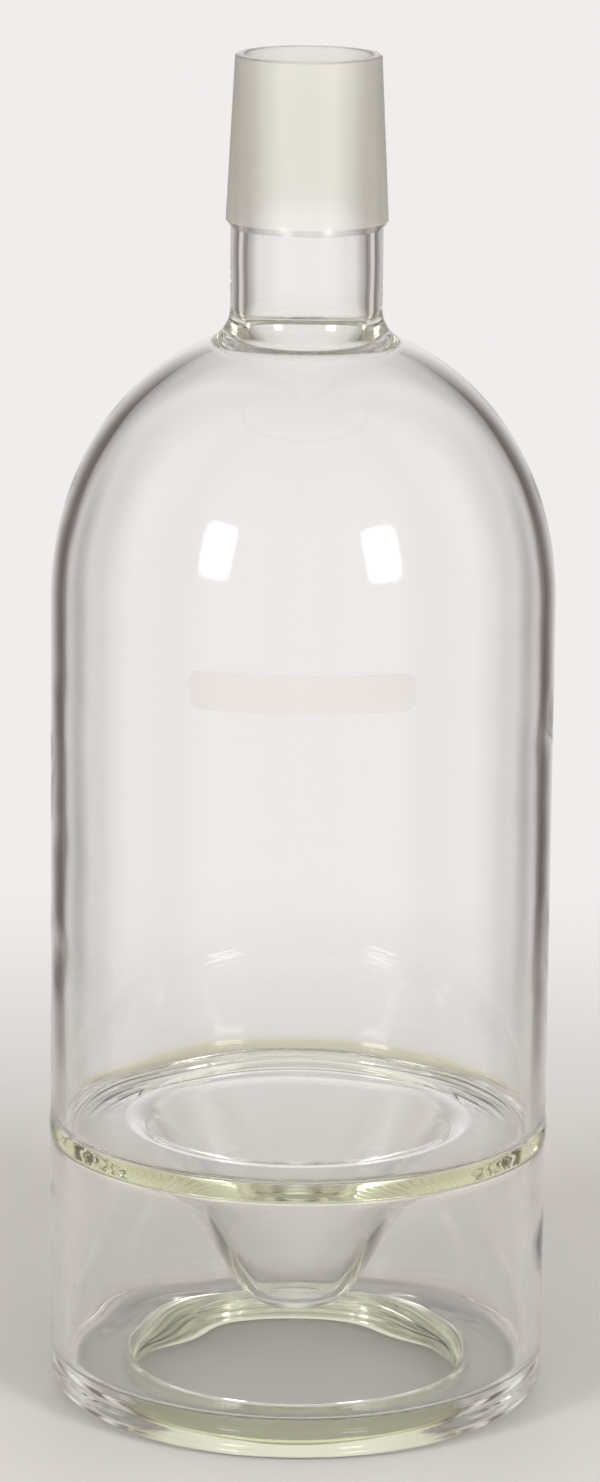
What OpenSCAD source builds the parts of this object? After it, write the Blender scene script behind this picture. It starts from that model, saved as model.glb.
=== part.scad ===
// One-litre reservoir bottle of clear borosilicate glass, with a ground cone on top, a conical
// sump let into a raised floor, and an open skirt that carries it. Every part is turned about Z.

/* [Ground joint] */
// Large-end diameter of the standard ground cone
joint_d = 34.5; // [24:0.5:45]
// Length of the ground zone, its top bevel included
joint_length = 35; // [25:1:45]
// Diameter lost per millimetre of length
joint_taper = 0.1; // [0.08:0.01:0.12]
// Clear bore through the cone and the neck
mouth_bore_d = 27; // [16:0.5:30]
// Height of the bevel at the cone's top edge
rim_bevel = 0.4; // [0.2:0.1:1]
// Height of the bevel under the cone
root_bevel = 1.5; // [0.8:0.1:3]

/* [Neck] */
// Outside diameter of the neck tube
neck_od = 32.4; // [28:0.2:34]
// Height of the neck tube's top end above the base
neck_top_z = 257.4; // [252:0.2:275]
// How far the flame seal flares out from the neck before it meets the dome
neck_seal_flare = 4.8; // [3:0.2:7]
// How far the throat flares out from the bore inside the seal
throat_flare = 1.4; // [1:0.2:7]

/* [Bottle] */
// Outside diameter of the body
body_od = 108.4; // [100:0.2:116]
// Wall of the body tube and the dome
body_wall = 3.1; // [2:0.1:4]
// Height where the straight body ends and the dome starts
shoulder_z = 176; // [160:1:184]
// Height of the full dome, had it no neck
dome_rise = 61; // [56:1:65]
// Exponent of the dome's curve: 2 is a true ellipse, more is squarer
dome_power = 2.1; // [2:0.05:2.4]

/* [Floor and sump] */
// Height of the floor's top face above the base
floor_top_z = 61.2; // [55:0.2:70]
// Thickness of the floor
floor_t = 3.4; // [2.5:0.1:4.5]
// Radius where the floor's mid-plane would meet the sump's cone
sump_mouth_r = 33.5; // [29:0.5:36]
// Radius where the sump's cone would meet its flat tip
sump_tip_r = 9; // [8:0.5:13]
// Height of the underside of the tip above the base
sump_tip_z = 18.8; // [12:0.2:26]
// Angle that the floor rises from its edge to the sump's lip
floor_rise = 8; // [0:1:10]
// Wall of the sump
sump_wall = 2.6; // [2:0.1:3]
// Bend radius of the lip, at mid-wall
lip_bend_r = 5; // [3:0.5:8]
// Bend radius of the tip, at mid-wall
tip_bend_r = 5.2; // [3:0.2:7]

/* [Floor seal] */
// How far the fused ring reaches above the floor
floor_seal_up = 2.6; // [2:0.1:5]
// How far it reaches below the floor
floor_seal_down = 1.4; // [1:0.1:4]
// Radius of the cove between floor and body
floor_seal_cove = 2; // [1:0.1:2.4]
// Radius of the smaller cove between floor and skirt
floor_seal_undercove = 0.8; // [0.4:0.1:1.2]
// How far the ring stands out from the body
floor_seal_bead = 0.3; // [0:0.1:0.8]

/* [Skirt and foot] */
// Wall of the skirt
skirt_wall = 3.9; // [3:0.1:5]
// Thickness of the foot ring
foot_t = 8.5; // [8:0.5:10]
// Diameter of the hole through the foot ring
foot_bore_d = 70.6; // [60:0.2:76]
// Radius of the foot's outer lower edge
foot_edge_r = 5.5; // [3:0.5:7]
// Radius of the foot hole's fire-polished edges
foot_lip_r = 3.5; // [1:0.5:3.5]
// Radius of the cove between foot and skirt
foot_cove = 2.5; // [1:0.5:3]

/* [Writing patch] */
// Width of the frosted enamel writing patch
patch_w = 47; // [30:1:60]
// Height of the patch
patch_h = 8; // [6:1:30]
// Height of the patch's middle above the base
patch_z = 168; // [120:1:172]
// Thickness of the enamel
patch_t = 0.15; // [0.1:0.05:0.3]

/* [Hidden] */
$fn = 128;

bore_r = mouth_bore_d / 2;
neck_r = neck_od / 2;
joint_r = joint_d / 2;
joint_foot_z = neck_top_z + root_bevel;
total_h = joint_foot_z + joint_length;
joint_top_z = total_h - rim_bevel;
joint_top_r = joint_r - (joint_top_z - joint_foot_z) * joint_taper / 2;

body_r = body_od / 2;
body_in_r = body_r - body_wall;
seal_r = neck_r + neck_seal_flare;
throat_r = bore_r + throat_flare;
neck_foot_z = flare_centre(neck_r, seal_r, 0)[1];

floor_mid_z = floor_top_z - floor_t / 2;
floor_low_z = floor_top_z - floor_t;
floor_seal_z0 = floor_low_z - floor_seal_down;
floor_seal_z1 = floor_top_z + floor_seal_up;
floor_seal_h = floor_seal_z1 - floor_seal_z0;
skirt_in_r = body_r - skirt_wall;
floor_edge_r = skirt_in_r - floor_seal_cove;
foot_bore_r = foot_bore_d / 2;

// Steps that each rounded corner is drawn with
ARC_STEPS = 10;
DOME_STEPS = 28;

// Height of the dome's outside, or of its inside when inset is the wall
function dome_z(r, inset) =
    shoulder_z + (dome_rise - inset) * pow(1 - pow(r / (body_r - inset), dome_power), 1 / dome_power);

// Radius of the same curve at an angle round it, from 0 at the shoulder to 90 at the crown
function dome_point(angle, inset) = [
    (body_r - inset) * pow(cos(angle), 2 / dome_power),
    shoulder_z + (dome_rise - inset) * pow(sin(angle), 2 / dome_power)
];

// Angle at which the curve reaches radius r
function dome_angle(r, inset) = acos(pow(r / (body_r - inset), dome_power / 2));

// Angle that the dome falls at radius r, from level
function dome_fall(r, inset) =
    let (a = body_r - inset, t = pow(r / a, dome_power))
    atan((dome_rise - inset) / a * pow(r / a, dome_power - 1) * pow(1 - t, 1 / dome_power - 1));

// An arc that leaves an upright tube and meets the dome smoothly: its radius, centre and points
function flare_radius(tube_r, end_r, inset) = (end_r - tube_r) / (1 - sin(dome_fall(end_r, inset)));
function flare_centre(tube_r, end_r, inset) =
    let (radius = flare_radius(tube_r, end_r, inset))
    [tube_r + radius, dome_z(end_r, inset) + radius * cos(dome_fall(end_r, inset))];
function flare(tube_r, end_r, inset) =
    arc(flare_centre(tube_r, end_r, inset), flare_radius(tube_r, end_r, inset),
        180, 270 - dome_fall(end_r, inset));

// Points of an arc about a centre, ends included
function arc(centre, radius, from, to, steps = ARC_STEPS) =
    [for (i = [0 : steps]) let (a = from + (to - from) * i / steps)
        centre + radius * [cos(a), sin(a)]];

// A bent sheet seen in section: floor, lip, cone, tip bend and flat tip, offset from mid-wall.
// side is 1 for the upper face and -1 for the lower face.
sump_tip_mid_z = sump_tip_z + sump_wall / 2;
cone_run = sump_mouth_r - sump_tip_r;
cone_drop = floor_mid_z - sump_tip_mid_z;
cone_slope = atan(cone_drop / cone_run);
lip_reach = sump_mouth_r * tan(cone_slope) + floor_edge_r * tan(floor_rise)
    + lip_bend_r * (1 / cos(cone_slope) - 1 / cos(floor_rise));
lip_centre_r = lip_reach / (tan(cone_slope) + tan(floor_rise));
lip_centre = [lip_centre_r, floor_mid_z + (floor_edge_r - lip_centre_r) * tan(floor_rise)
    - lip_bend_r / cos(floor_rise)];
tip_centre = [sump_tip_r - tip_bend_r * tan(cone_slope / 2), sump_tip_mid_z + tip_bend_r];

function lip_face(side) =
    arc(lip_centre, lip_bend_r + side * sump_wall / 2, 90 - floor_rise, 90 + cone_slope);
function tip_face(side) =
    arc(tip_centre, tip_bend_r - side * sump_wall / 2, cone_slope - 90, -90);

// Solid turned from a closed outline of [radius, height] points
module turned(outline) {
    rotate_extrude() polygon(outline);
}

function reversed(list) = [for (i = [len(list) - 1 : -1 : 0]) list[i]];

module ground_cone() {
    color("Gainsboro") turned([
        [bore_r, neck_top_z],
        [neck_r, neck_top_z],
        [joint_r, joint_foot_z],
        [joint_top_r, joint_top_z],
        [joint_top_r - rim_bevel, total_h],
        [bore_r + rim_bevel, total_h],
        [bore_r, joint_top_z],
    ]);
}

module neck_tube() {
    color("AliceBlue") turned([
        [bore_r, neck_foot_z],
        [neck_r, neck_foot_z],
        [neck_r, neck_top_z],
        [bore_r, neck_top_z],
    ]);
}

// Fused ring at the neck's root, flared outside and inside to run into the dome
module neck_seal() {
    color("Honeydew") turned(concat(
        flare(neck_r, seal_r, 0), reversed(flare(bore_r, throat_r, body_wall)),
        [[bore_r, neck_foot_z]]));
}

module shoulder_dome() {
    end_out = dome_angle(seal_r, 0);
    end_in = dome_angle(throat_r, body_wall);
    outside = [for (i = [0 : DOME_STEPS]) dome_point(end_out * i / DOME_STEPS, 0)];
    inside = [for (i = [DOME_STEPS : -1 : 0]) dome_point(end_in * i / DOME_STEPS, body_wall)];
    color("AliceBlue") turned(concat(outside, inside));
}

module body_tube() {
    color("AliceBlue") turned([
        [body_in_r, floor_seal_z1],
        [body_r, floor_seal_z1],
        [body_r, shoulder_z],
        [body_in_r, shoulder_z],
    ]);
}

// Fused ring that joins body, floor and skirt, with a cove above and below the floor
module floor_seal() {
    upper_cove = arc([body_in_r - floor_seal_cove, floor_top_z + floor_seal_cove],
                     floor_seal_cove, 0, -90);
    lower_cove = arc([skirt_in_r - floor_seal_undercove, floor_low_z - floor_seal_undercove],
                     floor_seal_undercove, 90, 0);
    bead = [for (i = [1 : ARC_STEPS - 1]) let (t = i / ARC_STEPS)
        [body_r + floor_seal_bead * sin(180 * t), floor_seal_z0 + floor_seal_h * t]];
    color("Honeydew") turned(concat(
        [[body_in_r, floor_seal_z1]], upper_cove,
        [[floor_edge_r, floor_top_z], [floor_edge_r, floor_low_z]],
        lower_cove, [[skirt_in_r, floor_seal_z0], [body_r, floor_seal_z0]],
        bead, [[body_r, floor_seal_z1]]));
}

module sump_floor() {
    color("AliceBlue") turned([
        lip_face(-1)[0], [floor_edge_r, floor_low_z], [floor_edge_r, floor_top_z], lip_face(1)[0],
    ]);
}

module sump_cone() {
    upper = concat(lip_face(1), tip_face(1));
    lower = concat(lip_face(-1), tip_face(-1));
    color("AliceBlue") turned(concat(
        upper, [[0, sump_tip_z + sump_wall], [0, sump_tip_z]], reversed(lower)));
}

module skirt_tube() {
    color("AliceBlue") turned([
        [skirt_in_r, foot_t + foot_cove],
        [body_r, foot_t + foot_cove],
        [body_r, floor_seal_z0],
        [skirt_in_r, floor_seal_z0],
    ]);
}

// Thick turned-in ring that the bottle stands on, with fire-polished edges
module foot_ring() {
    edge = arc([body_r - foot_edge_r, foot_edge_r], foot_edge_r, -90, 0);
    cove = arc([skirt_in_r - foot_cove, foot_t + foot_cove], foot_cove, 0, -90);
    lip_top = arc([foot_bore_r + foot_lip_r, foot_t - foot_lip_r], foot_lip_r, 90, 180);
    lip_low = arc([foot_bore_r + foot_lip_r, foot_lip_r], foot_lip_r, 180, 270);
    color("Honeydew") turned(concat(
        edge, [[body_r, foot_t + foot_cove]], cove, lip_top, lip_low));
}

// Thin band of frosted enamel, curved to the body, with round corners
module writing_patch() {
    corner = patch_h / 4;
    color("WhiteSmoke") intersection() {
        difference() {
            translate([0, 0, patch_z - patch_h / 2]) cylinder(h = patch_h, r = body_r + patch_t);
            translate([0, 0, patch_z - patch_h]) cylinder(h = patch_h * 2, r = body_r);
        }
        translate([0, 0, patch_z]) rotate([90, 0, 0]) linear_extrude(body_od) union() {
            square([patch_w - 2 * corner, patch_h], center = true);
            square([patch_w, patch_h - 2 * corner], center = true);
            for (x = [-1, 1], y = [-1, 1])
                translate([x * (patch_w / 2 - corner), y * (patch_h / 2 - corner)]) circle(corner);
        }
    }
}

ground_cone();
neck_tube();
neck_seal();
shoulder_dome();
body_tube();
floor_seal();
sump_floor();
sump_cone();
skirt_tube();
foot_ring();
writing_patch();
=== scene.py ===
"""One-litre reservoir bottle of clear borosilicate glass, turned and fused in the flame.

The bottle is made of turned pieces that meet face to face, as the glassblower's blanks do once
they are fused. Where two pieces meet, both have a clear joint face, so that light passes from
one to the next unbent and the glass reads as one wall.
"""
import logging
import math
from dataclasses import dataclass, field
from enum import Enum
from typing import ClassVar

import bpy
from mathutils import Euler, Matrix, Vector


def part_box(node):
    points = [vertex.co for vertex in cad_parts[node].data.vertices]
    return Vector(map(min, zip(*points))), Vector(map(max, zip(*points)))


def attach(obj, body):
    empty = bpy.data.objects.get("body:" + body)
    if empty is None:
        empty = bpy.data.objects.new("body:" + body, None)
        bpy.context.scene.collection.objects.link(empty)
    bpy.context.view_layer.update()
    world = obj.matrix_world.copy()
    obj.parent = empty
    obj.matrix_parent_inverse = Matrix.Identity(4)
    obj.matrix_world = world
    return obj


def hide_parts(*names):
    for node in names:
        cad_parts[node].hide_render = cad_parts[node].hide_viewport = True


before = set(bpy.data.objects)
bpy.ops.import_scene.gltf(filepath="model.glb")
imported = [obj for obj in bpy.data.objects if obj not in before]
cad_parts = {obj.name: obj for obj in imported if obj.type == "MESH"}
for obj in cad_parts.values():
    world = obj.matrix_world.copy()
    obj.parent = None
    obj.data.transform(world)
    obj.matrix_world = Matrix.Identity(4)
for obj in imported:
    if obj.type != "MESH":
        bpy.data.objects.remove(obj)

LOG = logging.getLogger("bottle")
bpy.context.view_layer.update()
MM = 0.001
BODY = "root"
# Most turns that a ray may take: light goes round many times inside a thick ring
MOST_TURNS = 64


# ---------------------------------------------------------------- colours and nodes


def linear(hex_colour: str) -> tuple[float, float, float, float]:
    """Turns an sRGB hex colour into linear red, green, blue and a full alpha.

    Args:
        hex_colour: six hex digits, without the hash.

    Returns:
        The linear colour, as Blender's sockets take it.
    """
    def channel(pair: str) -> float:
        """Returns one channel in linear light."""
        value = int(pair, 16) / 255
        return value / 12.92 if value <= 0.04045 else ((value + 0.055) / 1.055) ** 2.4

    red, green, blue = (channel(hex_colour[i:i + 2]) for i in (0, 2, 4))
    return red, green, blue, 1.0


def add_node(tree: bpy.types.NodeTree, kind: str, inputs: dict | None = None,
             **settings: object) -> bpy.types.Node:
    """Adds a node, sets its properties, and fills or links its inputs.

    Args:
        tree: the node tree to add to.
        kind: the node's Blender type name.
        inputs: socket name or number to a value, or to the output socket that feeds it.
        **settings: the node's own properties.

    Returns:
        The new node.
    """
    node = tree.nodes.new(kind)
    for name, value in settings.items():
        setattr(node, name, value)
    for key, value in (inputs or {}).items():
        if isinstance(value, bpy.types.NodeSocket):
            tree.links.new(value, node.inputs[key])
        else:
            node.inputs[key].default_value = value
    return node


def empty_material(name: str) -> tuple[bpy.types.Material, bpy.types.NodeTree, bpy.types.Node]:
    """Makes a node material with only its output node.

    Args:
        name: the material's name.

    Returns:
        The material, its tree and its output node.
    """
    material = bpy.data.materials.new(name)
    material.use_nodes = True
    tree = material.node_tree
    tree.nodes.clear()
    return material, tree, tree.nodes.new("ShaderNodeOutputMaterial")


# ---------------------------------------------------------------- finishes


@dataclass(frozen=True)
class Depth:
    """The heart of a thick ring of glass, where its own colour shows. It is a circle round
    the bottle's axis, and the colour fades with distance from it. All is in millimetres."""

    radius: float
    height: float
    reach: float
    fade: float

    def share(self, tree: bpy.types.NodeTree, place: bpy.types.NodeSocket) -> bpy.types.NodeSocket:
        """Adds the nodes that tell how clear the glass is at a place.

        Args:
            tree: the node tree to add to.
            place: the place, on Object coordinates.

        Returns:
            0 in the ring's heart and 1 well away from it.
        """
        axis = add_node(tree, "ShaderNodeSeparateXYZ", {0: place}).outputs
        flat = add_node(tree, "ShaderNodeCombineXYZ", {0: axis["X"], 1: axis["Y"]}).outputs[0]
        spoke = add_node(tree, "ShaderNodeVectorMath", {0: flat}, operation="LENGTH")
        section = add_node(tree, "ShaderNodeCombineXYZ", {
            0: spoke.outputs["Value"], 2: axis["Z"]}).outputs[0]
        away = add_node(tree, "ShaderNodeVectorMath", {
            0: section, 1: (self.radius * MM, 0.0, self.height * MM)}, operation="DISTANCE")
        return add_node(tree, "ShaderNodeMapRange", {
            "Value": away.outputs["Value"], "From Min": self.reach * MM,
            "From Max": (self.reach + self.fade) * MM}, interpolation_type="SMOOTHSTEP").outputs[0]


@dataclass(frozen=True)
class Glass:
    """Borosilicate glass, fire-polished: IOR 1.47, a mirror-smooth skin and next to no colour.

    The tint is what light takes on in crossing one wall. A thick fused ring has a stronger
    one in its heart. Faint draw lines bend reflections a little.
    """

    name: str
    tint: str = "FEFEFE"
    heart: Depth | None = None
    heart_tint: str = "E9EEC4"
    skin_roughness: float = 0.0
    ior: float = 1.473
    draw_line_mm: float = 9.0
    draw_line_depth_mm: float = 0.01

    def skin(self) -> bpy.types.Material:
        """Returns the material of the outer and inner skin."""
        material, tree, output = empty_material(self.name)
        place = add_node(tree, "ShaderNodeTexCoord").outputs["Object"]
        stretched = add_node(tree, "ShaderNodeMapping", {
            "Vector": place, "Scale": (0.25, 0.25, 1.0)}).outputs[0]
        lines = add_node(tree, "ShaderNodeTexNoise", {
            "Vector": stretched, "Scale": 1 / (self.draw_line_mm * MM), "Detail": 1.0})
        bump = add_node(tree, "ShaderNodeBump", {
            "Height": lines.outputs["Fac"], "Strength": 1.0,
            "Distance": self.draw_line_depth_mm * MM})
        colour = linear(self.tint)
        if self.heart is not None:
            colour = add_node(tree, "ShaderNodeMix", {
                0: self.heart.share(tree, place), 6: linear(self.heart_tint), 7: colour},
                data_type="RGBA").outputs[2]
        glass = add_node(tree, "ShaderNodeBsdfPrincipled", {
            "Base Color": colour, "Transmission Weight": 1.0, "IOR": self.ior,
            "Roughness": self.skin_roughness, "Normal": bump.outputs[0]})
        tree.links.new(glass.outputs[0], output.inputs["Surface"])
        return material


@dataclass(frozen=True)
class GroundGlass(Glass):
    """The same glass, ground with fine grit: its pits scatter light, so it reads milky white.

    The grit is about 0.05 mm, too fine to show, so it is drawn at a few tenths of a
    millimetre. Faint rings are left by the tool, which turns as it grinds.
    """

    grit_mm: float = 0.35
    ring_mm: float = 1.6
    skin_roughness: float = 0.36
    clearness: float = 0.82

    def skin(self) -> bpy.types.Material:
        """Returns the material of the ground surface."""
        material, tree, output = empty_material(self.name)
        place = add_node(tree, "ShaderNodeTexCoord").outputs["Object"]
        grit = add_node(tree, "ShaderNodeTexNoise", {
            "Vector": place, "Scale": 1 / (self.grit_mm * MM), "Detail": 3.0})
        flattened = add_node(tree, "ShaderNodeMapping", {
            "Vector": place, "Scale": (0.02, 0.02, 1.0)}).outputs[0]
        rings = add_node(tree, "ShaderNodeTexNoise", {
            "Vector": flattened, "Scale": 1 / (self.ring_mm * MM), "Detail": 2.0})
        both = add_node(tree, "ShaderNodeMath", {
            0: grit.outputs["Fac"], 1: rings.outputs["Fac"]}, operation="ADD")
        bump = add_node(tree, "ShaderNodeBump", {
            "Height": both.outputs[0], "Strength": 0.35, "Distance": 0.05 * MM})
        rough = add_node(tree, "ShaderNodeMapRange", {
            "Value": rings.outputs["Fac"], "To Min": self.skin_roughness - 0.04,
            "To Max": self.skin_roughness + 0.04})
        glass = add_node(tree, "ShaderNodeBsdfPrincipled", {
            "Base Color": linear(self.tint), "Transmission Weight": self.clearness,
            "IOR": self.ior, "Roughness": rough.outputs[0], "Normal": bump.outputs[0]})
        tree.links.new(glass.outputs[0], output.inputs["Surface"])
        return material


@dataclass(frozen=True)
class FusedFace:
    """Where two blanks have melted into one: the glass goes on, so light passes unbent."""

    name: str = "melted_together_borosilicate"

    def skin(self) -> bpy.types.Material:
        """Returns the fused face's material, which lets all light through."""
        material, tree, output = empty_material(self.name)
        clear = add_node(tree, "ShaderNodeBsdfTransparent", {"Color": linear("FFFFFF")})
        tree.links.new(clear.outputs[0], output.inputs["Surface"])
        return material


@dataclass(frozen=True)
class Enamel:
    """Thin white enamel, screen printed and fired on: matt, and a little see-through."""

    name: str = "fired_white_enamel"
    colour: str = "F4F2F0"
    grain_mm: float = 0.5

    def skin(self) -> bpy.types.Material:
        """Returns the enamel's material, slightly uneven as a thin print is."""
        material, tree, output = empty_material(self.name)
        place = add_node(tree, "ShaderNodeTexCoord").outputs["Object"]
        grain = add_node(tree, "ShaderNodeTexNoise", {
            "Vector": place, "Scale": 1 / (self.grain_mm * MM), "Detail": 2.0})
        rough = add_node(tree, "ShaderNodeMapRange", {
            "Value": grain.outputs["Fac"], "To Min": 0.35, "To Max": 0.6})
        film = add_node(tree, "ShaderNodeBsdfPrincipled", {
            "Base Color": linear(self.colour), "Transmission Weight": 0.6, "IOR": 1.2,
            "Roughness": rough.outputs[0]})
        tree.links.new(film.outputs[0], output.inputs["Surface"])
        return material


@dataclass(frozen=True)
class FloorCard:
    """Pale matt card under the bottle, which fades into the studio's light at its edge."""

    name: str = "pale_matt_card"
    colour: str = "F4F2F0"
    solid_radius: float = 0.14
    fade_radius: float = 0.45

    def skin(self) -> bpy.types.Material:
        """Returns the card's material."""
        material, tree, output = empty_material(self.name)
        place = add_node(tree, "ShaderNodeTexCoord").outputs["Object"]
        distance = add_node(tree, "ShaderNodeVectorMath", {0: place}, operation="LENGTH")
        fade = add_node(tree, "ShaderNodeMapRange", {
            "Value": distance.outputs["Value"], "From Min": self.solid_radius,
            "From Max": self.fade_radius}, interpolation_type="SMOOTHSTEP")
        card = add_node(tree, "ShaderNodeBsdfPrincipled", {
            "Base Color": linear(self.colour), "Roughness": 0.6,
            "Specular IOR Level": 0.3})
        clear = add_node(tree, "ShaderNodeBsdfTransparent")
        mix = add_node(tree, "ShaderNodeMixShader", {
            0: fade.outputs[0], 1: card.outputs[0], 2: clear.outputs[0]})
        tree.links.new(mix.outputs[0], output.inputs["Surface"])
        return material


# ---------------------------------------------------------------- outlines


class Face(Enum):
    """What a stretch of a piece's outline is."""

    OUTSIDE = "outside"
    INSIDE = "inside"
    GROUND = "ground"
    FUSED = "fused"


Point = tuple[float, float]


@dataclass
class Outline:
    """The closed section of a turned piece, in millimetres, walked up the outside and down
    the inside. Each point keeps what the stretch after it is."""

    points: list[Point] = field(default_factory=list)
    faces: list[Face] = field(default_factory=list)
    waves: list[float] = field(default_factory=list)

    def run(self, points: list[Point], face: Face, wave_mm: float = 0.0) -> "Outline":
        """Adds a stretch of the outline.

        Args:
            points: the stretch's points. The next stretch starts at its last point.
            face: what the stretch is.
            wave_mm: how far the glass's hand-worked waves move its middle. Its ends stay.

        Returns:
            The outline itself.
        """
        last = len(points) - 1
        for i, point in enumerate(points[:-1]):
            self.points.append(point)
            self.faces.append(face)
            self.waves.append(wave_mm * min(1.0, 4 * min(i, last - i) / last))
        return self


def straight(start: Point, end: Point, steps: int = 1) -> list[Point]:
    """Returns points along a straight line, ends included."""
    return [(start[0] + (end[0] - start[0]) * i / steps,
             start[1] + (end[1] - start[1]) * i / steps) for i in range(steps + 1)]


def arc(centre: Point, radius: float, start_deg: float, end_deg: float,
        steps: int = 12) -> list[Point]:
    """Returns points along an arc, ends included.

    Args:
        centre: the arc's centre, as radius and height.
        radius: its radius.
        start_deg: angle where it starts, from the outward direction towards the top.
        end_deg: angle where it ends.
        steps: how many stretches it is drawn with.

    Returns:
        The arc's points.
    """
    angles = [math.radians(start_deg + (end_deg - start_deg) * i / steps)
              for i in range(steps + 1)]
    return [(centre[0] + radius * math.cos(a), centre[1] + radius * math.sin(a))
            for a in angles]


# ---------------------------------------------------------------- the lathe


class Lathe:
    """Turns outlines into solids with one Geometry Nodes tree."""

    SEGMENTS = 256
    WAVE_LENGTH_MM = 11.0
    WAVE_ROUND = 0.25
    SEED = 7.3
    WELD = 2e-6
    SHARP_DEG = 32.0

    def __init__(self) -> None:
        """Builds the tree."""
        self.tree = bpy.data.node_groups.new("turned_glass", "GeometryNodeTree")
        self._build()

    def _socket(self, name: str, kind: str, output: bool = False) -> None:
        """Adds an input or output to the tree's interface."""
        self.tree.interface.new_socket(
            name, in_out="OUTPUT" if output else "INPUT", socket_type=kind)

    def _build(self) -> None:
        """Lays out the tree: a flat grid is bent round the axis, one column of the grid for
        each angle and one row for each point of the outline."""
        self._socket("Geometry", "NodeSocketGeometry", output=True)
        self._socket("Outline", "NodeSocketGeometry")
        self._socket("Points", "NodeSocketInt")
        self._socket("Segments", "NodeSocketInt")
        self._socket("Wave seed", "NodeSocketFloat")
        self._socket("Wave length", "NodeSocketFloat")
        self._socket("Skin", "NodeSocketMaterial")
        self._socket("Ground", "NodeSocketMaterial")
        self._socket("Fused", "NodeSocketMaterial")
        tree = self.tree
        given = add_node(tree, "NodeGroupInput").outputs

        def maths(operation: str, *values: object) -> bpy.types.NodeSocket:
            """Adds a Math node and returns its output."""
            return add_node(tree, "ShaderNodeMath", dict(enumerate(values)),
                            operation=operation).outputs[0]

        columns = maths("ADD", given["Segments"], 1.0)
        rows = maths("ADD", given["Points"], 1.0)
        grid = add_node(tree, "GeometryNodeMeshGrid", {
            "Size X": 1.0, "Size Y": 1.0, "Vertices X": columns, "Vertices Y": rows})
        flat = add_node(tree, "ShaderNodeSeparateXYZ", {
            0: add_node(tree, "GeometryNodeInputPosition").outputs[0]}).outputs
        along = maths("MULTIPLY", maths("ADD", flat["Y"], 0.5), given["Points"])
        nearest = maths("MODULO", maths("ROUND", along), given["Points"])
        stretch = maths("MODULO", maths("FLOOR", along), given["Points"])
        angle = maths("MULTIPLY", maths("ADD", flat["X"], 0.5), math.tau)

        def sampled(value: bpy.types.NodeSocket, index: bpy.types.NodeSocket,
                    kind: str) -> bpy.types.NodeSocket:
            """Reads a value from one point of the outline."""
            return add_node(tree, "GeometryNodeSampleIndex", {
                "Geometry": given["Outline"], "Value": value, "Index": index},
                data_type=kind).outputs[0]

        def named(name: str, kind: str) -> bpy.types.NodeSocket:
            """Reads a named attribute."""
            return add_node(tree, "GeometryNodeInputNamedAttribute", {"Name": name},
                            data_type=kind).outputs[0]

        marked = grid.outputs[0]
        for name in (Face.GROUND.value, Face.FUSED.value):
            marked = add_node(tree, "GeometryNodeStoreNamedAttribute", {
                "Geometry": marked, "Name": name,
                "Value": sampled(named(name, "FLOAT"), stretch, "FLOAT")},
                data_type="FLOAT", domain="FACE").outputs[0]
        position = add_node(tree, "GeometryNodeInputPosition").outputs[0]
        section = add_node(tree, "ShaderNodeSeparateXYZ", {
            0: sampled(position, nearest, "FLOAT_VECTOR")}).outputs
        around = maths("COSINE", angle), maths("SINE", angle)
        bare = add_node(tree, "ShaderNodeCombineXYZ", {
            0: maths("MULTIPLY", section["X"], around[0]),
            1: maths("MULTIPLY", section["X"], around[1]), 2: section["Z"]}).outputs[0]
        squeezed = add_node(tree, "ShaderNodeVectorMath", {
            0: bare, 1: (self.WAVE_ROUND, self.WAVE_ROUND, 1.0)}, operation="MULTIPLY").outputs[0]
        noise = add_node(tree, "ShaderNodeTexNoise", {
            "Vector": squeezed, "W": given["Wave seed"], "Detail": 0.0,
            "Scale": maths("DIVIDE", 1.0, given["Wave length"])}, noise_dimensions="4D")
        swing = maths("MULTIPLY", maths("SUBTRACT", noise.outputs[0], 0.5), 2.0)
        wave = maths("MULTIPLY", swing, sampled(named("wave", "FLOAT"), nearest, "FLOAT"))
        radius = maths("ADD", section["X"], wave)
        turned = add_node(tree, "ShaderNodeCombineXYZ", {
            0: maths("MULTIPLY", radius, around[0]),
            1: maths("MULTIPLY", radius, around[1]), 2: section["Z"]}).outputs[0]
        bent = add_node(tree, "GeometryNodeSetPosition", {"Geometry": marked, "Position": turned})
        welded = add_node(tree, "GeometryNodeMergeByDistance", {
            "Geometry": bent.outputs[0], "Distance": self.WELD})
        solid = add_node(tree, "GeometryNodeRealizeInstances", {0: welded.outputs[0]}).outputs[0]
        solid = add_node(tree, "GeometryNodeSetMaterial", {
            "Geometry": solid, "Material": given["Skin"]}).outputs[0]
        for name, socket in ((Face.GROUND.value, "Ground"), (Face.FUSED.value, "Fused")):
            chosen = add_node(tree, "FunctionNodeCompare", {
                0: named(name, "FLOAT"), 1: 0.5}, operation="GREATER_THAN").outputs[0]
            solid = add_node(tree, "GeometryNodeSetMaterial", {
                "Geometry": solid, "Selection": chosen, "Material": given[socket]}).outputs[0]
        add_node(tree, "NodeGroupOutput", {0: solid})

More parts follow.
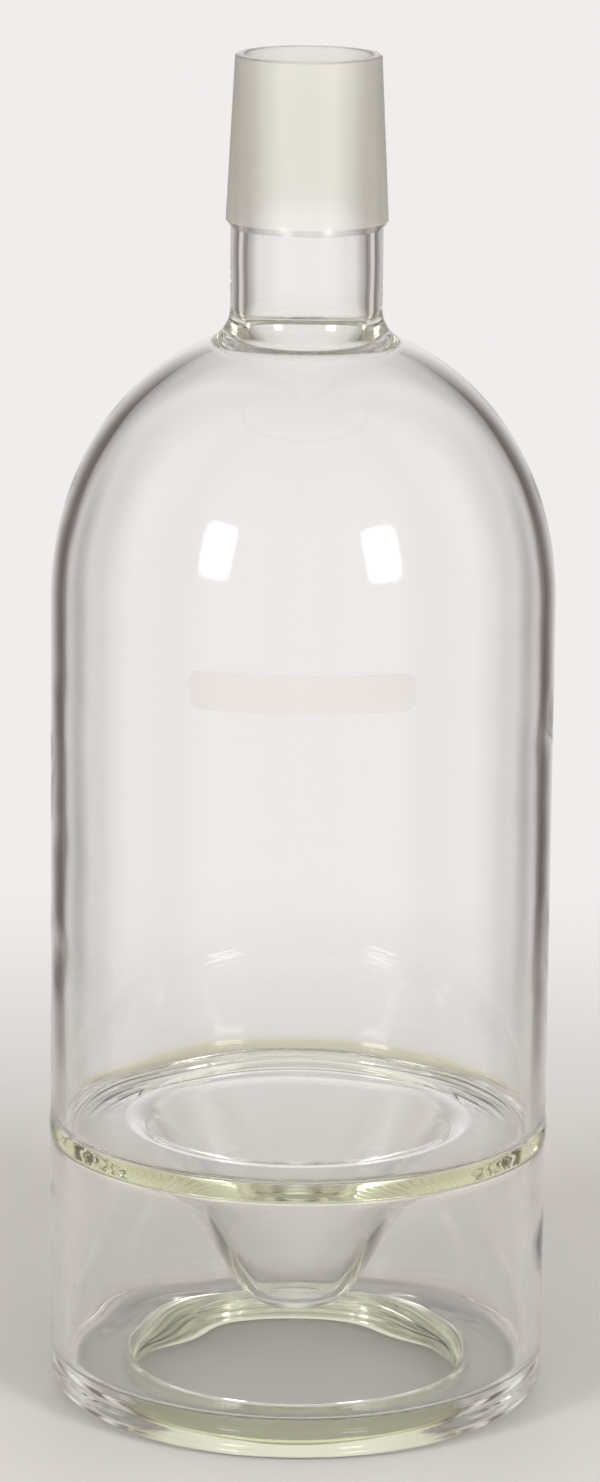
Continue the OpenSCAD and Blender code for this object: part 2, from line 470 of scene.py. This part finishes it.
    def turn(self, name: str, outline: Outline, glass: "Dressing") -> bpy.types.Object:
        """Turns one outline into a finished solid.

        Args:
            name: the piece's name.
            outline: its section, in millimetres.
            glass: the materials that its faces take.

        Returns:
            The piece, with its modifier applied.
        """
        count = len(outline.points)
        mesh = bpy.data.meshes.new(f"{name}_section")
        mesh.from_pydata([(r * MM, 0.0, z * MM) for r, z in outline.points],
                         [(i, (i + 1) % count) for i in range(count)], [])
        columns = {
            "wave": [w * MM for w in outline.waves],
            Face.GROUND.value: [float(f is Face.GROUND) for f in outline.faces],
            Face.FUSED.value: [float(f is Face.FUSED) for f in outline.faces],
        }
        for key, values in columns.items():
            mesh.attributes.new(key, "FLOAT", "POINT").data.foreach_set("value", values)
        piece = bpy.data.objects.new(name, mesh)
        bpy.context.scene.collection.objects.link(piece)
        modifier = piece.modifiers.new("turned", "NODES")
        modifier.node_group = self.tree
        values = {
            "Points": count, "Segments": self.SEGMENTS, "Wave seed": self.SEED,
            "Wave length": self.WAVE_LENGTH_MM * MM, "Skin": glass.skin,
            "Ground": glass.ground, "Fused": glass.fused,
        }
        for item in self.tree.interface.items_tree:
            if item.name in values:
                modifier[item.identifier] = values[item.name]
        shape = piece.evaluated_get(bpy.context.evaluated_depsgraph_get())
        solid = bpy.data.meshes.new_from_object(shape)
        piece.modifiers.clear()
        piece.data = solid
        bpy.data.meshes.remove(mesh)
        solid.name = name
        solid.shade_smooth()
        solid.set_sharp_from_angle(angle=math.radians(self.SHARP_DEG))
        return piece


@dataclass(frozen=True)
class Dressing:
    """The materials that a turned piece's faces take."""

    skin: bpy.types.Material
    fused: bpy.types.Material
    ground: bpy.types.Material


def fit(piece: bpy.types.Object, node: str) -> None:
    """Puts a finished piece in its CAD node's place.

    Args:
        piece: the finished piece.
        node: the CAD node that it stands for.
    """
    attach(piece, BODY)
    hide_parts(node)
    LOG.info("%s: %d faces", piece.name, len(piece.data.polygons))


def node_span(node: str) -> Point:
    """Returns a CAD node's lowest and highest height, in millimetres."""
    low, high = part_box(node)
    return low[2] / MM, high[2] / MM


def node_radius(node: str) -> float:
    """Returns a turned CAD node's outer radius in millimetres, to a tenth."""
    low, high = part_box(node)
    return round((high[0] - low[0]) / 2 / MM, 1)


# ---------------------------------------------------------------- the bottle


# Gap that each fused face keeps from the shared plane, in millimetres, so that two faces
# never coincide
SEAM = 0.004


@dataclass(frozen=True)
class Dome:
    """The curve of the shoulder: a superellipse from the body's wall to its crown."""

    radius: float
    base: float
    rise: float
    power: float = 2.1

    def height(self, r: float) -> float:
        """Returns the curve's height at a radius."""
        return self.base + self.rise * (1 - (r / self.radius) ** self.power) ** (1 / self.power)

    def inset(self, wall: float) -> "Dome":
        """Returns the inner curve of a wall this thick."""
        return Dome(self.radius - wall, self.base, self.rise - wall, self.power)

    def fall(self, r: float) -> float:
        """Returns the angle that the curve falls at a radius, in radians from level."""
        step = 0.01
        return math.atan((self.height(r - step) - self.height(r + step)) / (2 * step))

    def flare(self, tube_r: float, end_r: float, steps: int = 24) -> list[Point]:
        """Returns the arc that leaves an upright tube and runs smoothly into the curve.

        Args:
            tube_r: the tube's radius.
            end_r: radius where the arc meets the curve.
            steps: how many stretches it is drawn with.

        Returns:
            The arc's points, from the tube down to the curve.
        """
        fall = self.fall(end_r)
        radius = (end_r - tube_r) / (1 - math.sin(fall))
        centre = (tube_r + radius, self.height(end_r) + radius * math.cos(fall))
        return arc(centre, radius, 180, 270 - math.degrees(fall), steps)

    def points(self, end_radius: float, steps: int = 110) -> list[Point]:
        """Returns points from the shoulder up to a radius near the crown."""
        end = math.acos((end_radius / self.radius) ** (self.power / 2))
        angles = [end * i / steps for i in range(steps + 1)]
        return [(self.radius * math.cos(a) ** (2 / self.power),
                 self.base + self.rise * math.sin(a) ** (2 / self.power)) for a in angles]


@dataclass
class GroundJoint:
    """Standard ground cone and its clear stem, one blank in two finishes."""

    lathe: Lathe
    dressing: Dressing
    bore_r: float = 13.5
    taper: float = 0.1
    root_bevel: float = 1.5
    rim_bevel: float = 0.4
    edge_r: float = 0.6
    stem_wave: float = 0.3

    def build(self) -> None:
        """Builds the cone and the stem."""
        self._cone()
        self._stem()

    def _cone(self) -> None:
        """Turns the cone: ground outside, fire-polished in the bore and on the lower bevel."""
        low, top = node_span("ground_cone")
        low += SEAM
        stem_r = node_radius("neck_tube")
        large_r = node_radius("ground_cone") + 0.05
        foot_z = low + self.root_bevel
        shoulder_z = top - self.rim_bevel
        small_r = large_r - (shoulder_z - foot_z) * self.taper / 2
        rim_r = small_r - self.rim_bevel
        outline = Outline()
        outline.run(straight((self.bore_r, low), (stem_r, low)), Face.FUSED)
        outline.run(straight((stem_r, low), (large_r, foot_z), 4), Face.OUTSIDE)
        outline.run(straight((large_r, foot_z), (small_r, shoulder_z), 30), Face.GROUND)
        outline.run(straight((small_r, shoulder_z), (rim_r, top), 3), Face.GROUND)
        outline.run(straight((rim_r, top), (self.bore_r + self.edge_r, top), 2), Face.INSIDE)
        outline.run(arc((self.bore_r + self.edge_r, top - self.edge_r), self.edge_r, 90, 180, 5),
                    Face.INSIDE)
        outline.run(straight((self.bore_r, top - self.edge_r), (self.bore_r, low), 24),
                    Face.INSIDE, 0.05)
        fit(self.lathe.turn("ground_cone_34_35", outline, self.dressing),
            "ground_cone")

    def _stem(self) -> None:
        """Turns the stem, whose bore is wavy where the flame has worked it."""
        low, top = node_span("neck_tube")
        low, top = low + SEAM, top - SEAM
        stem_r = node_radius("neck_tube")
        outline = Outline()
        outline.run(straight((self.bore_r, low), (stem_r, low)), Face.FUSED)
        outline.run(straight((stem_r, low), (stem_r, top), 40), Face.OUTSIDE, self.stem_wave / 4)
        outline.run(straight((stem_r, top), (self.bore_r, top)), Face.FUSED)
        outline.run(straight((self.bore_r, top), (self.bore_r, low), 40), Face.INSIDE,
                    self.stem_wave)
        fit(self.lathe.turn("neck_stem", outline, self.dressing), "neck_tube")


@dataclass
class Shell:
    """The body blank and its neck seal: dome, straight body, and the flared seal above."""

    lathe: Lathe
    clear: Dressing
    fused: Dressing
    wall: float = 3.1
    bore_r: float = 13.5
    throat_r: float = 14.9
    dome_wave: float = 0.12
    body_wave: float = 0.12

    def build(self) -> None:
        """Builds the neck seal, the dome and the body."""
        self.radius = node_radius("body_tube")
        base, crown = node_span("shoulder_dome")
        self.seal_r = node_radius("neck_seal")
        self.outer = self._outer_dome(base, crown)
        self.inner = self.outer.inset(self.wall)
        self._seal()
        self._dome()
        self._body()

    def _outer_dome(self, base: float, crown: float) -> Dome:
        """Returns the outer dome that passes through the neck seal's edge at the crown."""
        unit = Dome(self.radius, 0.0, 1.0)
        return Dome(self.radius, base, (crown - base) / unit.height(self.seal_r))

    def _seal(self) -> None:
        """Turns the neck seal: flared outside and inside to run into the dome."""
        top = node_span("neck_seal")[1] - SEAM
        flare = [(r, z + SEAM) for r, z in
                 self.outer.flare(node_radius("neck_tube"), self.seal_r)[::-1]]
        flare[-1] = (flare[-1][0], top)
        throat = [(r, z + SEAM) for r, z in self.inner.flare(self.bore_r, self.throat_r)]
        outline = Outline()
        outline.run(straight(throat[-1], flare[0]), Face.FUSED)
        outline.run(flare, Face.OUTSIDE)
        outline.run(straight(flare[-1], (self.bore_r, top)), Face.FUSED)
        outline.run(straight((self.bore_r, top), throat[0], 6), Face.INSIDE)
        outline.run(throat, Face.INSIDE)
        fit(self.lathe.turn("neck_flame_seal", outline, self.fused), "neck_seal")

    def _dome(self) -> None:
        """Turns the dome."""
        rise = self.outer.points(self.seal_r)
        fall = self.inner.points(self.throat_r)[::-1]
        rise = [(r, z + SEAM * (1 - 2 * i / len(rise))) for i, (r, z) in enumerate(rise)]
        fall = [(r, z - SEAM * (1 - 2 * i / len(fall))) for i, (r, z) in enumerate(fall)]
        outline = Outline()
        outline.run(straight(fall[-1], rise[0]), Face.FUSED)
        outline.run(rise, Face.OUTSIDE)
        outline.run(straight(rise[-1], fall[0]), Face.FUSED)
        outline.run(fall, Face.INSIDE, self.dome_wave)
        fit(self.lathe.turn("shoulder_dome_blown", outline, self.clear),
            "shoulder_dome")

    def _body(self) -> None:
        """Turns the straight body."""
        low, top = node_span("body_tube")
        low, top = low + SEAM, top - SEAM
        inner_r = self.radius - self.wall
        outline = Outline()
        outline.run(straight((inner_r, low), (self.radius, low)), Face.FUSED)
        outline.run(straight((self.radius, low), (self.radius, top), 70), Face.OUTSIDE)
        outline.run(straight((self.radius, top), (inner_r, top)), Face.FUSED)
        outline.run(straight((inner_r, top), (inner_r, low), 70), Face.INSIDE, self.body_wave)
        fit(self.lathe.turn("body_cylinder", outline, self.clear), "body_tube")


@dataclass
class FloorInsert:
    """The blown floor: its ring seal, its rim, and the lip, cone and tip of the sump."""

    lathe: Lathe
    clear: Dressing
    fused: Dressing
    body_wall: float = 3.1
    skirt_wall: float = 3.9
    top: float = 61.2
    sheet: float = 3.4
    rise_deg: float = 8.0
    wall: float = 2.6
    cove_r: float = 2.0
    undercove_r: float = 0.8
    mouth_r: float = 33.5
    cone_foot_r: float = 9.0
    lip_bend_r: float = 5.0
    tip_bend_r: float = 5.2
    rim_wave: float = 0.12
    cone_wave: float = 0.1

    def build(self) -> None:
        """Builds the ring seal, the rim and the sump."""
        self.body_r = node_radius("body_tube")
        self.low = self.top - self.sheet
        self.middle = self.top - self.sheet / 2
        self.rim_r = node_radius("sump_floor")
        self.tip_low = node_span("sump_cone")[0]
        self.tip_middle = self.tip_low + self.wall / 2
        self.slope = math.atan2(self.middle - self.tip_middle, self.mouth_r - self.cone_foot_r)
        self.lip_centre = self._lip_centre()
        self._ring_seal()
        self._rim()
        self._sump()

    def _lip_centre(self) -> Point:
        """Returns the centre of the lip's bend, which touches both the rim and the cone."""
        rise = math.radians(self.rise_deg)
        reach = (self.mouth_r * math.tan(self.slope) + self.rim_r * math.tan(rise)
                 + self.lip_bend_r * (1 / math.cos(self.slope) - 1 / math.cos(rise)))
        r = reach / (math.tan(self.slope) + math.tan(rise))
        return r, (self.middle + (self.rim_r - r) * math.tan(rise)
                   - self.lip_bend_r / math.cos(rise))

    def _lip_start(self, side: int, gap: float) -> Point:
        """Returns where the rim meets the lip's bend, on its upper (1) or lower (-1) face.

        Args:
            side: which face.
            gap: how far the point is moved from the bend towards the rim.

        Returns:
            The point, as radius and height.
        """
        rise = math.radians(self.rise_deg)
        reach = self.lip_bend_r + side * self.wall / 2
        return (self.lip_centre[0] + reach * math.sin(rise) + gap,
                self.lip_centre[1] + reach * math.cos(rise) - gap * math.tan(rise))

    def _ring_seal(self) -> None:
        """Turns the ring where body, floor and skirt are fused, coved above and below."""
        seal_low, seal_top = node_span("floor_seal")
        seal_low, seal_top = seal_low + SEAM, seal_top - SEAM
        body_in = self.body_r - self.body_wall
        skirt_in = self.body_r - self.skirt_wall
        bead = node_radius("floor_seal") - self.body_r
        rim_r = self.rim_r + SEAM
        height = seal_top - seal_low
        outside = [(self.body_r + bead * math.sin(math.pi * i / 20) ** 2,
                    seal_low + height * i / 20) for i in range(21)]
        upper = arc((body_in - self.cove_r, self.top + self.cove_r), self.cove_r, 0, -90)
        lower = arc((skirt_in - self.undercove_r, self.low - self.undercove_r),
                    self.undercove_r, 90, 0)
        outline = Outline()
        outline.run(straight((skirt_in, seal_low), (self.body_r, seal_low)), Face.FUSED)
        outline.run(outside, Face.OUTSIDE)
        outline.run(straight((self.body_r, seal_top), (body_in, seal_top)), Face.FUSED)
        outline.run(straight((body_in, seal_top), upper[0], 4), Face.INSIDE)
        outline.run(upper, Face.INSIDE)
        outline.run(straight(upper[-1], (rim_r, self.top), 2), Face.INSIDE)
        outline.run(straight((rim_r, self.top), (rim_r, self.low)), Face.FUSED)
        outline.run(straight((rim_r, self.low), lower[0], 2), Face.INSIDE)
        outline.run(lower, Face.INSIDE)
        outline.run(straight(lower[-1], (skirt_in, seal_low), 4), Face.INSIDE)
        fit(self.lathe.turn("floor_ring_seal", outline, self.fused), "floor_seal")

    def _rim(self) -> None:
        """Turns the rim, which thins and rises a little towards the lip."""
        outer = self.rim_r - SEAM
        under, over = self._lip_start(-1, SEAM), self._lip_start(1, SEAM)
        outline = Outline()
        outline.run(straight(under, (outer, self.low), 16), Face.OUTSIDE, self.rim_wave)
        outline.run(straight((outer, self.low), (outer, self.top)), Face.FUSED)
        outline.run(straight((outer, self.top), over, 16), Face.INSIDE, self.rim_wave)
        outline.run(straight(over, under), Face.FUSED)
        fit(self.lathe.turn("floor_rim", outline, self.clear), "sump_floor")

    def _sump(self) -> None:
        """Turns the lip, the cone and the closed tip, as one sheet of even wall."""
        half = self.wall / 2
        turn = math.degrees(self.slope)
        start = 90 - self.rise_deg
        tip_centre = (self.cone_foot_r - self.tip_bend_r * math.tan(self.slope / 2),
                      self.tip_middle + self.tip_bend_r)
        under_lip = arc(self.lip_centre, self.lip_bend_r - half, 90 + turn, start, 20)
        over_lip = arc(self.lip_centre, self.lip_bend_r + half, start, 90 + turn, 24)
        under_lip[-1] = self._lip_start(-1, -SEAM)
        over_lip[0] = self._lip_start(1, -SEAM)
        under_tip = arc(tip_centre, self.tip_bend_r + half, -90, turn - 90, 16)
        over_tip = arc(tip_centre, self.tip_bend_r - half, turn - 90, -90, 14)
        outline = Outline()
        outline.run(straight((0.0, self.tip_low), under_tip[0], 8), Face.OUTSIDE)
        outline.run(under_tip, Face.OUTSIDE)
        outline.run(straight(under_tip[-1], under_lip[0], 36), Face.OUTSIDE, self.cone_wave)
        outline.run(under_lip, Face.OUTSIDE)
        outline.run(straight(under_lip[-1], over_lip[0]), Face.FUSED)
        outline.run(over_lip, Face.INSIDE)
        outline.run(straight(over_lip[-1], over_tip[0], 36), Face.INSIDE, self.cone_wave)
        outline.run(over_tip, Face.INSIDE)
        outline.run(straight(over_tip[-1], (0.0, self.tip_low + self.wall), 8), Face.INSIDE)
        outline.run(straight((0.0, self.tip_low + self.wall), (0.0, self.tip_low)), Face.INSIDE)
        fit(self.lathe.turn("sump_cone_blown", outline, self.clear), "sump_cone")


@dataclass
class Pedestal:
    """The skirt and the thick foot ring that the bottle stands on."""

    lathe: Lathe
    clear: Dressing
    fused: Dressing
    skirt_wall: float = 3.9
    foot_thickness: float = 8.5
    foot_edge_r: float = 5.5
    foot_bore_r: float = 35.3
    foot_lip_r: float = 3.5
    foot_cove: float = 2.5
    skirt_wave: float = 0.3

    def build(self) -> None:
        """Builds the skirt and the foot ring."""
        self.radius = node_radius("skirt_tube")
        self.inner_r = self.radius - self.skirt_wall
        self._skirt()
        self._foot()

    def _skirt(self) -> None:
        """Turns the skirt, whose inner wall is wavy from the flame."""
        low, top = node_span("skirt_tube")
        low, top = low + SEAM, top - SEAM
        outline = Outline()
        outline.run(straight((self.inner_r, low), (self.radius, low)), Face.FUSED)
        outline.run(straight((self.radius, low), (self.radius, top), 40), Face.OUTSIDE)
        outline.run(straight((self.radius, top), (self.inner_r, top)), Face.FUSED)
        outline.run(straight((self.inner_r, top), (self.inner_r, low), 40), Face.INSIDE,
                    self.skirt_wave)
        fit(self.lathe.turn("skirt_cylinder", outline, self.clear), "skirt_tube")

    def _foot(self) -> None:
        """Turns the foot ring, with every edge rounded by the fire."""
        low, top = node_span("foot_ring")
        top -= SEAM
        edge, lip, cove = self.foot_edge_r, self.foot_lip_r, self.foot_cove
        deck = low + self.foot_thickness
        heel = arc((self.radius - edge, low + edge), edge, -90, 0, 16)
        corner = arc((self.inner_r - cove, deck + cove), cove, 0, -90, 10)
        lip_top = arc((self.foot_bore_r + lip, deck - lip), lip, 90, 180, 14)
        lip_low = arc((self.foot_bore_r + lip, low + lip), lip, 180, 270, 14)
        outline = Outline()
        outline.run(straight(lip_low[-1], heel[0], 10), Face.OUTSIDE)
        outline.run(heel, Face.OUTSIDE)
        outline.run(straight(heel[-1], (self.radius, top), 4), Face.OUTSIDE)
        outline.run(straight((self.radius, top), (self.inner_r, top)), Face.FUSED)
        outline.run(corner, Face.INSIDE)
        outline.run(straight(corner[-1], lip_top[0], 10), Face.INSIDE)
        outline.run(lip_top, Face.INSIDE)
        outline.run(straight(lip_top[-1], lip_low[0], 3), Face.INSIDE)
        outline.run(lip_low, Face.INSIDE)
        fit(self.lathe.turn("foot_ring_polished", outline, self.fused), "foot_ring")


@dataclass
class WritingPatch:
    """A thin enamel patch on the front of the body, with round corners."""

    enamel: Enamel
    clearance: float = 0.012
    columns: int = 96
    rows: int = 20

    def build(self) -> None:
        """Builds the patch as one thin curved sheet with both skins and an edge."""
        low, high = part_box("writing_patch")
        body_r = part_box("body_tube")[1][0]
        half_w, half_h = (high[0] - low[0]) / 2, (high[2] - low[2]) / 2
        middle = (high[2] + low[2]) / 2
        corner = half_h / 2
        inner_r = body_r + self.clearance * MM
        outer_r = -low[1]
        vertices, faces = [], []
        for radius in (outer_r, inner_r):
            for i in range(self.columns + 1):
                x = -half_w + 2 * half_w * i / self.columns
                inset = max(0.0, abs(x) - (half_w - corner))
                reach = half_h - corner + math.sqrt(max(0.0, corner ** 2 - inset ** 2))
                for j in range(self.rows + 1):
                    z = middle + reach * (2 * j / self.rows - 1)
                    vertices.append((x, -math.sqrt(radius ** 2 - x ** 2), z))
        tall = self.rows + 1
        sheet = (self.columns + 1) * tall
        for i in range(self.columns):
            for j in range(self.rows):
                a, b = i * tall + j, (i + 1) * tall + j
                faces.append((a, b, b + 1, a + 1))
                faces.append((sheet + a, sheet + a + 1, sheet + b + 1, sheet + b))
        for i in range(self.columns):
            a, b = i * tall, (i + 1) * tall
            faces.append((a, sheet + a, sheet + b, b))
            a, b = a + self.rows, b + self.rows
            faces.append((a, b, sheet + b, sheet + a))
        for j in range(self.rows):
            a, b = j, self.columns * tall + j
            faces.append((a, a + 1, sheet + a + 1, sheet + a))
            faces.append((b, sheet + b, sheet + b + 1, b + 1))
        mesh = bpy.data.meshes.new("enamel_patch")
        mesh.from_pydata(vertices, [], faces)
        mesh.materials.append(self.enamel.skin())
        mesh.shade_smooth()
        mesh.set_sharp_from_angle(angle=math.radians(40))
        piece = bpy.data.objects.new("enamel_patch", mesh)
        bpy.context.scene.collection.objects.link(piece)
        fit(piece, "writing_patch")


# ---------------------------------------------------------------- the studio


@dataclass
class Softbox:
    """A strip light with a soft face."""

    name: str
    azimuth_deg: float
    elevation_deg: float
    width: float
    height: float
    brightness: float
    softness: float = 0.3
    distance: float = 1.3
    aim: Vector = field(default_factory=lambda: Vector((0, 0, 0.18)))

    def build(self) -> None:
        """Hangs the light and aims it at the bottle. Brightness is that of its face."""
        lamp = bpy.data.lights.new(self.name, "AREA")
        lamp.shape = "RECTANGLE"
        lamp.size, lamp.size_y = self.width, self.height
        lamp.energy = self.brightness * math.pi * self.width * self.height
        lamp.color = linear("FFFBF6")[:3]
        self._soften(lamp)
        holder = bpy.data.objects.new(self.name, lamp)
        turn, lift = math.radians(self.azimuth_deg), math.radians(self.elevation_deg)
        towards = Vector((math.sin(turn) * math.cos(lift), -math.cos(turn) * math.cos(lift),
                          math.sin(lift)))
        holder.location = self.aim + towards * self.distance
        holder.rotation_euler = (-towards).to_track_quat("-Z", "Y").to_euler()
        bpy.context.scene.collection.objects.link(holder)

    def _soften(self, lamp: bpy.types.Light) -> None:
        """Fades the light's face towards its edges, as a softbox's cloth does."""
        lamp.use_nodes = True
        tree = lamp.node_tree
        tree.nodes.clear()
        across = add_node(tree, "ShaderNodeNewGeometry").outputs["Parametric"]
        sides = add_node(tree, "ShaderNodeSeparateXYZ", {0: across}).outputs
        fades = []
        for side in (sides["X"], sides["Y"]):
            off = add_node(tree, "ShaderNodeMath", {0: side, 1: 0.5}, operation="SUBTRACT")
            off = add_node(tree, "ShaderNodeMath", {0: off.outputs[0]}, operation="ABSOLUTE")
            fades.append(add_node(tree, "ShaderNodeMapRange", {
                "Value": off.outputs[0], "From Min": 0.5 - self.softness, "From Max": 0.5,
                "To Min": 1.0, "To Max": 0.0}, interpolation_type="SMOOTHSTEP").outputs[0])
        both = add_node(tree, "ShaderNodeMath", {0: fades[0], 1: fades[1]},
                        operation="MULTIPLY")
        glow = add_node(tree, "ShaderNodeEmission", {"Strength": both.outputs[0]})
        add_node(tree, "ShaderNodeOutputLight", {0: glow.outputs[0]})


@dataclass
class Studio:
    """Floor, light and camera. The bottle stands in a pale tent with soft dark flags, which
    draw the dark lines at the edges of clear glass."""

    # Angle from the front, either way, and the tent's colour there
    WALLS: ClassVar[tuple[tuple[float, str], ...]] = (
        (0, "E8E4E2"), (44, "ECE8E6"), (63, "BCB6B2"), (72, "C8C2BE"), (88, "ECE8E6"),
        (94, "ECE8E6"), (108, "9C948E"), (120, "847C76"), (133, "DED8D4"), (138, "DED8D4"),
        (145, "6A625C"), (155, "6A625C"), (164, "B4AEAA"), (172, "E6E2E0"), (177, "F1EDEC"),
    )
    # Height above the horizon, as the sine in 90ths, and how much the dim ceiling shows
    CEILING: ClassVar[tuple[tuple[float, str], ...]] = (
        (38, "000000"), (66, "A0A0A0"), (90, "BCBCBC"))
    CARD_SIDES: ClassVar[int] = 96
    CARD_RADIUS: ClassVar[float] = 0.6

    card: FloorCard
    ceiling_colour: str = "8C8680"
    clearance: float = 0.1

    def build(self) -> None:
        """Builds the whole studio."""
        self._floor()
        self._tent()
        for light in (
            Softbox("strip_left", -42.0, 19.0, 0.38, 0.50, 20.0),
            Softbox("strip_right", 38.0, 19.0, 0.41, 0.50, 20.0),
        ):
            light.build()
        self._camera()
        self._light_paths()

    def _floor(self) -> None:
        """Lays the floor card, a round one."""
        sides, radius = self.CARD_SIDES, self.CARD_RADIUS
        mesh = bpy.data.meshes.new("floor_card")
        mesh.from_pydata([(radius * math.cos(math.tau * i / sides),
                           radius * math.sin(math.tau * i / sides), -self.clearance * MM)
                          for i in range(sides)], [], [tuple(range(sides))])
        mesh.materials.append(self.card.skin())
        floor = bpy.data.objects.new("floor_card", mesh)
        bpy.context.scene.collection.objects.link(floor)

    def _tent(self) -> None:
        """Sets the light that comes from all round: pale, dim overhead, with dark flags."""
        world = bpy.data.worlds.new("tent")
        bpy.context.scene.world = world
        world.use_nodes = True
        tree = world.node_tree
        tree.nodes.clear()
        place = add_node(tree, "ShaderNodeTexCoord").outputs["Generated"]
        axis = add_node(tree, "ShaderNodeSeparateXYZ", {0: place}).outputs
        backwards = add_node(tree, "ShaderNodeMath", {0: axis["Y"], 1: -1.0},
                             operation="MULTIPLY").outputs[0]
        turn = add_node(tree, "ShaderNodeMath", {0: axis["X"], 1: backwards},
                        operation="ARCTAN2").outputs[0]
        turn = add_node(tree, "ShaderNodeMath", {0: turn}, operation="ABSOLUTE").outputs[0]
        round_walls = self._ramp(tree, turn, math.pi, self.WALLS, 180.0)
        upwards = self._ramp(tree, axis["Z"], 1.0, self.CEILING, 90.0)
        lit = add_node(tree, "ShaderNodeMix", {
            0: upwards, 6: round_walls, 7: linear(self.ceiling_colour)},
            data_type="RGBA").outputs[2]
        light = add_node(tree, "ShaderNodeBackground", {"Color": lit, "Strength": 1.0})
        add_node(tree, "ShaderNodeOutputWorld", {0: light.outputs[0]})

    def _ramp(self, tree: bpy.types.NodeTree, value: bpy.types.NodeSocket, full: float,
              stops: tuple[tuple[float, str], ...], last: float) -> bpy.types.NodeSocket:
        """Adds a soft colour ramp.

        Args:
            tree: the node tree to add to.
            value: the socket that drives the ramp.
            full: the value at the ramp's end.
            stops: places on the ramp and their hex colours.
            last: the place that stands for the ramp's end.

        Returns:
            The ramp's colour.
        """
        share = add_node(tree, "ShaderNodeMath", {0: value, 1: full}, operation="DIVIDE")
        ramp = add_node(tree, "ShaderNodeValToRGB", {0: share.outputs[0]})
        ramp.color_ramp.interpolation = "EASE"
        elements = ramp.color_ramp.elements
        elements.remove(elements[1])
        for i, (where, colour) in enumerate(stops):
            element = elements[0] if i == 0 else elements.new(where / last)
            element.position = where / last
            element.color = linear(colour)
        return ramp.outputs[0]

    def _camera(self) -> None:
        """Sets the camera, above the bottle's mouth and looking a little down on it."""
        lens = bpy.data.cameras.new("camera")
        lens.sensor_width = 36.0
        lens.lens = 141.77
        lens.clip_end = 20.0
        camera = bpy.data.objects.new("camera", lens)
        camera.location = (-0.0004, -1.2256, 0.4387)
        tilt, roll = math.radians(13.455), math.radians(0.583)
        aim = Euler((math.pi / 2 - tilt, 0, 0)).to_matrix() @ Matrix.Rotation(roll, 3, "Z")
        camera.rotation_euler = aim.to_euler()
        bpy.context.scene.collection.objects.link(camera)
        bpy.context.scene.camera = camera

    def _light_paths(self) -> None:
        """Lets light go on through every wall, and round inside the thick rings."""
        scene = bpy.context.scene
        scene.view_settings.view_transform = "Standard"
        scene.cycles.max_bounces = MOST_TURNS
        scene.cycles.transmission_bounces = MOST_TURNS
        scene.cycles.glossy_bounces = MOST_TURNS
        scene.cycles.diffuse_bounces = 3
        scene.cycles.transparent_max_bounces = MOST_TURNS
        scene.cycles.sample_clamp_indirect = 6.0


# ---------------------------------------------------------------- main


def dressings() -> tuple[Dressing, ...]:
    """Returns the dressings for clear glass, the neck, floor and foot seals, and the cone."""
    clear = Glass("fire_polished_borosilicate").skin()
    neck = Glass("neck_seal_borosilicate", "FCFCF8").skin()
    floor = Glass("floor_seal_borosilicate", "FCFCF8", Depth(54.2, 60.2, 1.7, 0.9)).skin()
    foot = Glass("foot_ring_borosilicate", "FCFCF8", Depth(35.3, 4.2, 3.6, 2.5)).skin()
    ground = GroundGlass("ground_borosilicate", "FBFAF2").skin()
    joint = FusedFace().skin()
    return (*(Dressing(skin, joint, skin) for skin in (clear, neck, floor, foot)),
            Dressing(clear, joint, ground))


def main() -> None:
    """Builds the bottle and its studio."""
    logging.basicConfig(level=logging.INFO, format="%(name)s: %(message)s")
    lathe = Lathe()
    clear, neck, floor, foot, cone = dressings()
    for part in (
        GroundJoint(lathe, cone),
        Shell(lathe, clear, neck),
        FloorInsert(lathe, clear, floor),
        Pedestal(lathe, clear, foot),
        WritingPatch(Enamel()),
        Studio(FloorCard()),
    ):
        part.build()


if __name__ == "__main__":
    main()
